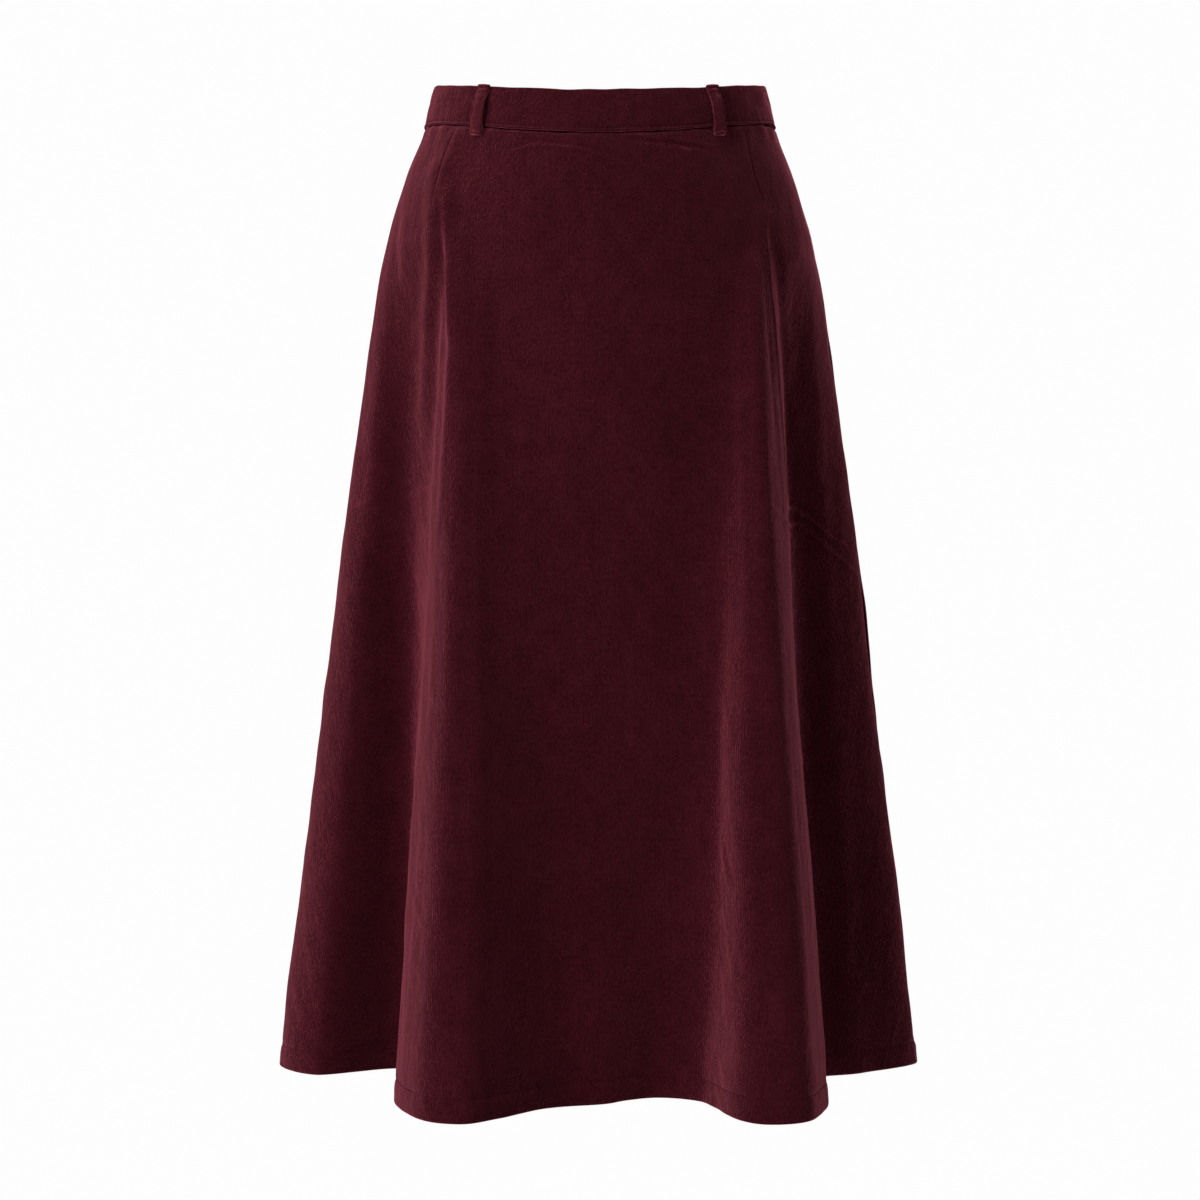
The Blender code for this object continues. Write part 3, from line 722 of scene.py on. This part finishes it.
def loop_grid(turn, seed):
    """Closed cross sections down one strap, as points and grain."""
    levels, under, over = np.array(LOOP_PROFILE).T
    at = np.linspace(0, len(levels) - 1, LOOP_ROWS)
    knots = np.arange(len(levels))
    levels, under, over = (smooth_through(knots, row, at) for row in (levels, under, over))
    angle = np.linspace(0, 2 * math.pi, LOOP_SIDES, endpoint=False)
    across, through = (
        np.sign(wave) * np.abs(wave) ** LOOP_SQUARENESS for wave in (np.cos(angle), np.sin(angle))
    )
    rows, grains = [], []
    travelled = 0.0
    before = None
    for k, (level, low, high) in enumerate(zip(levels, under, over)):
        ends = min(k, LOOP_ROWS - 1 - k)
        round_off = math.sqrt(1 - (1 - min(1, (ends + 0.35) / 4)) ** 2)
        half_width = LOOP_WIDTH / 2 * (0.90 + 0.10 * round_off)
        middle, half = (low + high) / 2, (high - low) / 2 * (0.45 + 0.55 * round_off)
        side = half_width * across
        out = middle + half * through
        face = (through > 0.3) * 1.0
        for seam in LOOP_SEAMS:
            out = out - face * LOOP_BAR_DENT * bell(level - seam, LOOP_BAR_WIDTH)
        out = out - face * LOOP_EDGE_DENT * bell(np.abs(side) - LOOP_EDGE_STITCH, LOOP_EDGE_WIDTH)
        crown = LOOP_CROWN * (1 - (side / half_width) ** 2)
        out = out + face * (crown + LOOP_RIPPLE * ripple(side, level + 0 * side, 0.007, seed))
        turns = turn + side * turn_for(1.0, level, turn)
        place = surface(level, turns) + out[:, None] * outward(level, turns)
        if before is not None:
            travelled += float(np.linalg.norm(place.mean(axis=0) - before))
        before = place.mean(axis=0)
        rows.append(place)
        grains.append(np.column_stack([side + 0.0003 * through, 0 * side - travelled, through]))
    return rows, grains


def build_loop(name, turn, seed, finishes):
    rows, grains = loop_grid(turn, seed)
    points = np.concatenate(rows)
    faces = []
    for k in range(LOOP_ROWS - 1):
        for i in range(LOOP_SIDES):
            j = (i + 1) % LOOP_SIDES
            a, b = k * LOOP_SIDES, (k + 1) * LOOP_SIDES
            faces.append((a + i, a + j, b + j, b + i))
    faces.append(tuple(range(LOOP_SIDES))[::-1])
    faces.append(tuple((LOOP_ROWS - 1) * LOOP_SIDES + i for i in range(LOOP_SIDES)))
    obj = add_mesh(name + "_cloth", points, faces, finishes, None, np.concatenate(grains), 75)
    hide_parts(name)
    return obj


# ---- stitches
STITCH_PITCH, STITCH_LENGTH, THREAD = 0.0026, 0.0021, 0.00022


def stitch_mesh(name, centres, alongs, outs, finish, length=STITCH_LENGTH, radius=THREAD):
    """Short rounded threads, each arching out of the cloth and back in."""
    stations = np.array([-1.0, -0.75, -0.3, 0.3, 0.75, 1.0]) * length / 2
    sizes = np.array([0.25, 0.8, 1.0, 1.0, 0.8, 0.25]) * radius
    lifts = np.array([-1.3, -0.2, 0.35, 0.35, -0.2, -1.3]) * radius
    sides = 6
    angle = np.linspace(0, 2 * math.pi, sides, endpoint=False)
    acrosses = np.cross(outs, alongs)
    centres, alongs, outs, acrosses = (row[:, None, None, :] for row in (centres, alongs, outs, acrosses))
    rings = (
        centres
        + alongs * stations[:, None, None]
        + outs * (lifts[:, None] + sizes[:, None] * np.sin(angle))[:, :, None]
        + acrosses * (sizes[:, None] * np.cos(angle))[:, :, None]
    )
    count = len(centres)
    points = rings.reshape(-1, 3)
    template = []
    for k in range(len(stations) - 1):
        for i in range(sides):
            j = (i + 1) % sides
            template.append((k * sides + i, k * sides + j, (k + 1) * sides + j, (k + 1) * sides + i))
    template = np.array(template)
    per = len(stations) * sides
    faces = (template[None] + per * np.arange(count)[:, None, None]).reshape(-1, 4).tolist()
    for k in range(count):
        faces.append(tuple(k * per + i for i in range(sides))[::-1])
        faces.append(tuple(k * per + per - sides + i for i in range(sides)))
    grain = np.column_stack([
        np.tile(np.repeat(stations, sides), count),
        np.tile(np.tile(angle, len(stations)), count),
        np.repeat(np.arange(count), per),
    ])
    obj = add_mesh(name, points, faces, [finish], None, grain, 80)
    return obj


def stitch_row(points, outs, skip=0):
    """Centres and directions of stitches that follow a line of points."""
    steps = np.linalg.norm(np.diff(points, axis=0), axis=1)
    travelled = np.concatenate([[0], np.cumsum(steps)])
    count = int(travelled[-1] / STITCH_PITCH)
    places = (np.arange(count) + 0.5) * travelled[-1] / count
    places = places[skip:count - skip]

    def at(values, where):
        return np.column_stack([np.interp(where, travelled, column) for column in values.T])

    centres = at(points, places)
    alongs = at(points, places + 0.0005) - at(points, places - 0.0005)
    alongs /= np.linalg.norm(alongs, axis=1, keepdims=True)
    normals = at(outs, places)
    normals -= (normals * alongs).sum(axis=1, keepdims=True) * alongs
    normals /= np.linalg.norm(normals, axis=1, keepdims=True)
    return centres, alongs, normals


def sew_hem(thread):
    rows = []
    level = HEM_LEVEL + HEM_STITCH
    for panel in PANELS:
        turns = np.linspace(panel.first, panel.last, 6 * len(panel.turns))
        line = panel.points(level, turns, THREAD * 0.9)
        line[:, 2] += 0.00012 * ripple(along_ring(level, turns), 0 * turns, 0.03, 31)
        rows.append(stitch_row(line, outward(level, turns)))
    return stitch_mesh("hem_stitches", *(np.concatenate(part) for part in zip(*rows)), thread)


def sew_band(thread):
    turns = np.linspace(-CENTRE_BACK + 0.6, CENTRE_BACK - 0.6, 3000)
    along = along_ring(0.0, turns)
    part = (BAND_TOP - BAND_STITCH) / BAND_HEIGHT
    out = band_face_out(BAND_STITCH, along) + THREAD * 0.6
    line = surface(BAND_STITCH, turns) + out[:, None] * outward(BAND_STITCH, turns)
    line[:, 2] += band_edge_shift(along, part)
    return stitch_mesh("waistband_stitches", *stitch_row(line, outward(BAND_STITCH, turns)), thread)


def sew_loop(name, turn, thread):
    """Two lines down the strap and a bar across each end."""
    levels, _, over = np.array(LOOP_PROFILE).T
    at = np.linspace(1.2, len(levels) - 2.2, 200)
    knots = np.arange(len(levels))
    levels, over = smooth_through(knots, levels, at), smooth_through(knots, over, at)
    rows = []
    for side in (-LOOP_EDGE_STITCH, LOOP_EDGE_STITCH):
        points, outs = [], []
        for level, out in zip(levels, over):
            place = np.array([turn + side * turn_for(1.0, level, turn)])
            normal = outward(level, place)
            points.append(surface(level, place) + (out - 0.00022) * normal)
            outs.append(normal)
        rows.append(stitch_row(np.concatenate(points), np.concatenate(outs)))
    for seam in LOOP_SEAMS:
        out = np.interp(-seam, -levels, over) - 0.00045
        sides = np.linspace(-0.0042, 0.0042, 60)
        turns = turn + sides * turn_for(1.0, seam, turn)
        normals = outward(seam, turns)
        rows.append(stitch_row(surface(seam, turns) + out * normals, normals))
    return stitch_mesh(name + "_stitches", *(np.concatenate(part) for part in zip(*rows)), thread)


# ---- zip
ZIP_TOP, ZIP_BOTTOM = BAND_TOP - 0.002, -0.185
TAPE_CLEAR, TAPE = 0.0004, 0.0008
COIL_PITCH = 0.0013


def zip_coil(name, side, offset, finish):
    """The coil's turns, side by side down the tape's edge on the inside."""
    levels = np.arange(ZIP_TOP - 0.012 - offset, ZIP_BOTTOM + 0.004, -COIL_PITCH)
    centres, alongs, outs = [], [], []
    for level in levels:
        turn = CENTRE_BACK + side * turn_for(0.0011 + band_gap(level) * 0.6, level, CENTRE_BACK)
        places = surface(level, np.array([turn, turn + 0.3]))
        normal = outward(level, np.array([turn]))[0]
        centres.append(places[0] - (CLOTH + TAPE_CLEAR + TAPE + 0.0003) * normal)
        across = places[1] - places[0]
        alongs.append(across / np.linalg.norm(across))
        outs.append(-normal)
    obj = stitch_mesh(
        name, np.array(centres), np.array(alongs), np.array(outs), finish, length=0.0030, radius=0.00040
    )
    return obj


# ---- materials
class Graph:
    """Short ways to write one material's nodes."""

    def __init__(self, name):
        self.material = bpy.data.materials.new(name)
        self.material.use_nodes = True
        self.nodes = self.material.node_tree.nodes
        self.links = self.material.node_tree.links
        self.shader = self.nodes["Principled BSDF"]

    def put(self, node, inputs):
        for key, value in inputs.items():
            if isinstance(value, bpy.types.NodeSocket):
                self.links.new(value, node.inputs[key])
            else:
                node.inputs[key].default_value = value
        return node

    def calc(self, operation, *values):
        node = self.nodes.new("ShaderNodeMath")
        node.operation = operation
        return self.put(node, dict(enumerate(values))).outputs[0]

    def plus(self, first, second):
        return self.calc("ADD", first, second)

    def times(self, first, second):
        return self.calc("MULTIPLY", first, second)

    def scaled(self, vector, sizes):
        """The vector in units of these sizes."""
        node = self.nodes.new("ShaderNodeVectorMath")
        node.operation = "MULTIPLY"
        return self.put(node, {0: vector, 1: [1 / size for size in sizes]}).outputs[0]

    def noise(self, vector, sizes, detail=2.0, roughness=0.5):
        node = self.nodes.new("ShaderNodeTexNoise")
        self.put(node, {"Vector": self.scaled(vector, sizes), "Scale": 1.0})
        return self.put(node, {"Detail": detail, "Roughness": roughness}).outputs["Fac"]

    def sine(self, value, period):
        return self.calc("SINE", self.times(value, 2 * math.pi / period))

    def summed(self, value, *others):
        """The value, with others added to it, each times its weight."""
        for other, weight in others:
            value = self.plus(value, self.times(other, weight))
        return value

    def mix(self, factor, first, second):
        node = self.nodes.new("ShaderNodeMix")
        node.data_type = "RGBA"
        return self.put(node, {"Factor": factor, 6: first, 7: second}).outputs[2]

    def stretch(self, value, low, high, to_low, to_high):
        node = self.nodes.new("ShaderNodeMapRange")
        names = ("Value", "From Min", "From Max", "To Min", "To Max")
        return self.put(node, dict(zip(names, (value, low, high, to_low, to_high)))).outputs[0]

    def split(self, vector, *which):
        node = self.nodes.new("ShaderNodeSeparateXYZ")
        self.links.new(vector, node.inputs[0])
        return vector, *(node.outputs[i] for i in which)

    def grain(self):
        """The place on the flat cut: as a vector, across the ribs, and along them."""
        node = self.nodes.new("ShaderNodeAttribute")
        node.attribute_name = "grain"
        return self.split(node.outputs["Vector"], 0, 1)

    def place(self):
        """The place in the frame: as a vector, across, and up."""
        return self.split(self.nodes.new("ShaderNodeTexCoord").outputs["Object"], 0, 2)

    def bump(self, height, strength=1.0):
        node = self.nodes.new("ShaderNodeBump")
        self.put(node, {"Height": height, "Distance": 1.0, "Strength": strength})
        self.links.new(node.outputs[0], self.shader.inputs["Normal"])

    def finish(self, colour, **values):
        self.put(self.shader, {"Base Color": colour, **values})
        return self.material


WALE = 0.0023
RIB_ROUNDNESS = 0.65
RIB_DRIFT, RIB_WAVER = 0.0010, 0.0006
# size across and along the ribs, detail, roughness
PILE_NOISES = {
    "drift": (0.045, 0.110, 1.0, 0.5),
    "waver": (0.009, 0.030, 1.0, 0.5),
    "worn": (0.0070, 0.016, 2.0, 0.5),
    "nap": (0.0016, 0.0030, 3.0, 0.7),
    "patch": (0.011, 0.016, 3.0, 0.6),
    "fuzz": (0.0005, 0.0008, 1.0, 0.5),
    "cloud": (0.055, 0.090, 2.0, 0.5),
    "swirl": (0.0050, 0.0062, 1.5, 0.5),
}
RIB_HEIGHT = 0.00032
PILE_HEIGHTS = {"nap": 0.00022, "patch": 0.00055, "brushed": 0.00014, "fuzz": 0.00010}
SHEEN_ROUGHNESS, SHEEN_TINT = 0.42, (0.95, 0.21, 0.29, 1)
# sheen of the dark pile painted as shade under the band's lip
PAINTED_SHADE_SHEEN = 0.05
# the darkest pile colour serves as a darker tone in places, and as painted shade in the rib grooves and
# under the band's lip
PILE_LIGHT, PILE, PILE_DARK_AND_SHADE = (
    (0.060, 0.0080, 0.0134, 1), (0.025, 0.0024, 0.0048, 1), (0.004, 0.0004, 0.0008, 1),
)
# the belt loops' pile is a lighter copy of the panel's, painted light that brightens the loops
LIT_STRAP_LIGHT, LIT_STRAP = (0.080, 0.0120, 0.0190, 1), (0.042, 0.0050, 0.0088, 1)
REVERSE_LIGHT, REVERSE, REVERSE_DARK = (
    (0.085, 0.020, 0.028, 1), (0.050, 0.009, 0.015, 1), (0.022, 0.004, 0.007, 1),
)
THREAD_LIGHT, THREAD_DARK = (0.060, 0.010, 0.016, 1), (0.020, 0.0030, 0.0050, 1)
TAPE_WORN, TAPE_LIGHT, TAPE_DARK = (
    (0.075, 0.022, 0.030, 1), (0.055, 0.012, 0.018, 1), (0.020, 0.004, 0.007, 1),
)
LACQUER_LIGHT, LACQUER_DARK = (0.062, 0.012, 0.018, 1), (0.040, 0.006, 0.010, 1)
COIL_LIGHT, COIL_DARK = (0.070, 0.014, 0.020, 1), (0.030, 0.005, 0.009, 1)
TWILL_PITCH, WARP_PITCH, TWIST_PITCH, TAPE_RIB, TAPE_ZIGZAG = 0.0011, 0.0007, 0.0005, 0.0007, 0.0016


def corduroy(name, light, middle, sheen=1.0):
    """Ribs worn flat in places, with painted shade in the grooves between them, a nap that lies unevenly
    and brushed marks in it.
    """
    graph = Graph(name)
    vector, across, _ = graph.grain()
    field = {
        key: graph.noise(vector, (wide, long, 1), detail, roughness)
        for key, (wide, long, detail, roughness) in PILE_NOISES.items()
    }
    for key, reach in (("drift", RIB_DRIFT), ("waver", RIB_WAVER)):
        across = graph.plus(across, graph.stretch(field[key], 0, 1, -reach, reach))
    rib = graph.calc("POWER", graph.calc("ABSOLUTE", graph.sine(across, 2 * WALE)), RIB_ROUNDNESS)
    shown = graph.stretch(field["worn"], 0.40, 0.66, 0.10, 0.85)
    brushed = graph.calc("ABSOLUTE", graph.calc("SUBTRACT", field["swirl"], 0.5))
    field["brushed"] = graph.stretch(brushed, 0.0, 0.020, 1.0, 0.0)
    tone = graph.summed(graph.stretch(field["nap"], 0.32, 0.68, -0.15, 0.80), (field["brushed"], 0.50))
    tone = graph.plus(tone, graph.stretch(field["patch"], 0.3, 0.7, -0.15, 0.25))
    # painted shade: where the ribs show, the grooves between them are darkened towards the darkest pile
    # colour
    groove_shade = graph.times(graph.stretch(rib, 0.0, 0.75, 0.85, 0.0), shown)
    colour = graph.mix(groove_shade, graph.mix(tone, middle, light), PILE_DARK_AND_SHADE)
    colour = graph.mix(graph.stretch(field["cloud"], 0.3, 0.7, 0.0, 0.25), colour, PILE_DARK_AND_SHADE)
    high = graph.times(graph.times(rib, shown), RIB_HEIGHT)
    graph.bump(graph.summed(high, *((field[key], height) for key, height in PILE_HEIGHTS.items())))
    return graph.finish(colour, Roughness=1.0, **{
        "Specular IOR Level": 0.0, "Sheen Weight": sheen, "Sheen Roughness": SHEEN_ROUGHNESS,
        "Sheen Tint": SHEEN_TINT,
    })


def reverse_of_cloth():
    graph = Graph("corduroy_reverse")
    vector, across, along = graph.grain()
    twill = graph.sine(graph.plus(across, along), TWILL_PITCH)
    weave = graph.times(graph.plus(twill, graph.sine(across, WARP_PITCH)), 0.5)
    slub = graph.noise(vector, (0.0008, 0.009, 1))
    colour = graph.mix(graph.stretch(slub, 0.3, 0.7, 0.0, 1.0), REVERSE, REVERSE_LIGHT)
    colour = graph.mix(graph.stretch(weave, -1.0, 0.2, 0.5, 0.0), colour, REVERSE_DARK)
    graph.bump(graph.summed(graph.times(weave, 0.00007), (slub, 0.0001)))
    return graph.finish(colour, Roughness=0.9, **{"Specular IOR Level": 0.15})


def thread_finish():
    graph = Graph("burgundy_thread")
    _, along, round_it = graph.grain()
    wound = graph.times(along, 2 * math.pi / TWIST_PITCH)
    twist = graph.calc("SINE", graph.plus(wound, round_it))
    colour = graph.mix(graph.stretch(twist, -1, 1, 0.0, 1.0), THREAD_DARK, THREAD_LIGHT)
    graph.bump(graph.times(twist, 0.00003))
    return graph.finish(colour, Roughness=0.8, **{"Specular IOR Level": 0.05})


def tape_finish():
    graph = Graph("burgundy_zip_tape")
    place, across, up = graph.place()
    zigzag = graph.calc("PINGPONG", across, TAPE_ZIGZAG)
    rib = graph.sine(graph.plus(up, zigzag), TAPE_RIB)
    worn = graph.noise(place, (0.004, 0.004, 0.004), 3.0)
    colour = graph.mix(graph.stretch(rib, -1, 1, 0.0, 1.0), TAPE_DARK, TAPE_LIGHT)
    colour = graph.mix(graph.stretch(worn, 0.4, 0.8, 0.0, 0.4), colour, TAPE_WORN)
    graph.bump(graph.times(rib, 0.00005))
    return graph.finish(colour, Roughness=0.75, **{"Specular IOR Level": 0.25})


def lacquer_finish():
    graph = Graph("burgundy_lacquered_metal")
    place, _, _ = graph.place()
    blotch = graph.noise(place, (0.003, 0.003, 0.003), 3.0)
    speck = graph.noise(place, (0.0003, 0.0003, 0.0003))
    colour = graph.mix(blotch, LACQUER_DARK, LACQUER_LIGHT)
    graph.bump(graph.times(speck, 0.00002))
    return graph.finish(colour, Roughness=graph.stretch(blotch, 0.3, 0.7, 0.28, 0.42), Metallic=0.3)


def coil_finish():
    graph = Graph("burgundy_zip_coil")
    vector, _, _ = graph.grain()
    grainy = graph.noise(vector, (0.0006, 2.0, 1))
    colour = graph.mix(grainy, COIL_DARK, COIL_LIGHT)
    graph.bump(graph.times(grainy, 0.00003))
    return graph.finish(colour, Roughness=0.35)


# ---- studio
def only_seen_by_camera(obj):
    obj.visible_diffuse = obj.visible_glossy = obj.visible_shadow = obj.visible_transmission = False


BACKDROP_SHADE = 0.985


def glow(name, shade):
    graph = Graph(name)
    emission = graph.nodes.new("ShaderNodeEmission")
    emission.inputs["Color"].default_value = (shade, shade, shade, 1)
    graph.links.new(emission.outputs[0], graph.nodes["Material Output"].inputs["Surface"])
    return graph.material


def studio():
    pale = glow("pale_studio", BACKDROP_SHADE)
    bpy.ops.mesh.primitive_uv_sphere_add(segments=48, ring_count=24, radius=14, location=(0, 0, -0.4))
    dome = bpy.context.object
    bpy.ops.mesh.primitive_circle_add(vertices=64, radius=12, fill_type="NGON", location=(0, 0, -1.9))
    floor = bpy.context.object
    for obj, name in ((dome, "backdrop"), (floor, "floor")):
        obj.name = name
        obj.data.materials.append(pale)
        only_seen_by_camera(obj)


def area_light(name, place, aim, size, power):
    data = bpy.data.lights.new(name, "AREA")
    data.shape, data.size, data.energy = "DISK", size, power
    lamp = bpy.data.objects.new(name, data)
    bpy.context.scene.collection.objects.link(lamp)
    lamp.location = place
    lamp.rotation_euler = (Vector(aim) - Vector(place)).to_track_quat("-Z", "Y").to_euler()
    lamp.visible_camera = False


# name, turn from straight ahead, height angle, size, power
LIGHTS = (
    ("key", -46, 12, 1.3, 48),
    ("high_left", -54, 45, 1.3, 24),
    ("left", -74, 12, 1.3, 6),
    ("front_left", -20, 10, 1.6, 4),
    ("front_right", 26, 10, 1.6, 20),
    ("low_left", -60, -25, 1.6, 18),
    ("low", -30, -30, 1.6, 12),
    ("right_edge", 100, 10, 1.2, 6),
    ("right_back", 135, 20, 1.6, 12),
    ("back", 172, 25, 1.6, 84),
    ("above", 0, 80, 1.2, 3),
)
LIGHT_DISTANCE = 3.0
MIDDLE = Vector((0, 0, -0.39))
AIR_LIGHT = 0.02
CAMERA_PLACE = (0, -2.15, -0.3915)
LENS, SENSOR = 81.27, 36


def light_place(turn, height):
    turn, height = math.radians(turn), math.radians(height)
    level = Vector((math.sin(turn), -math.cos(turn), 0)) * math.cos(height)
    return MIDDLE + LIGHT_DISTANCE * (level + Vector((0, 0, math.sin(height))))


def light_and_camera():
    for name, turn, height, size, power in LIGHTS:
        area_light(name, light_place(turn, height), MIDDLE, size, power)
    world = bpy.data.worlds.new("studio_air")
    bpy.context.scene.world = world
    world.use_nodes = True
    air = world.node_tree.nodes["Background"]
    air.inputs["Color"].default_value = (1, 1, 1, 1)
    air.inputs["Strength"].default_value = AIR_LIGHT
    data = bpy.data.cameras.new("photo_camera")
    data.lens, data.sensor_width = LENS, SENSOR
    camera = bpy.data.objects.new("photo_camera", data)
    bpy.context.scene.collection.objects.link(camera)
    camera.location = CAMERA_PLACE
    camera.rotation_euler = (math.radians(90), 0, 0)
    bpy.context.scene.camera = camera
    bpy.context.scene.view_settings.view_transform = "Standard"


# ---- the skirt
def build():
    pile = corduroy("burgundy_corduroy", PILE_LIGHT, PILE)
    # a lighter copy of the pile for the belt loops, painted light that brightens them
    lit_strap_pile = corduroy("burgundy_corduroy_lit_straps", LIT_STRAP_LIGHT, LIT_STRAP)
    # dark pile with hardly any sheen, painted as the shade under the band's lip
    painted_shade = corduroy("burgundy_corduroy_pressed", PILE, PILE_DARK_AND_SHADE, PAINTED_SHADE_SHEEN)
    reverse, thread = reverse_of_cloth(), thread_finish()
    tape, coil, lacquer = tape_finish(), coil_finish(), lacquer_finish()
    cloth = [build_panel(panel, [pile, reverse, painted_shade]) for panel in PANELS]
    band = build_band([pile, painted_shade])
    loops = [build_loop(name, turn, 40 + i, [lit_strap_pile]) for i, (name, turn) in enumerate(LOOPS)]
    sew_hem(thread)
    sew_band(thread)
    for name, turn in LOOPS:
        sew_loop(name, turn, thread)
    zip_coil("zip_coil_right", -1, 0.0, coil)
    zip_coil("zip_coil_left", 1, COIL_PITCH / 2, coil)
    for name, finish in (
        ("zip_tape_left", tape), ("zip_tape_right", tape), ("zip_slider", lacquer), ("zip_pull", lacquer),
    ):
        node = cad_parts[name]
        node.data.materials.clear()
        node.data.materials.append(finish)
    return cloth, band, loops


cloth, band, loops = build()
studio()
light_and_camera()
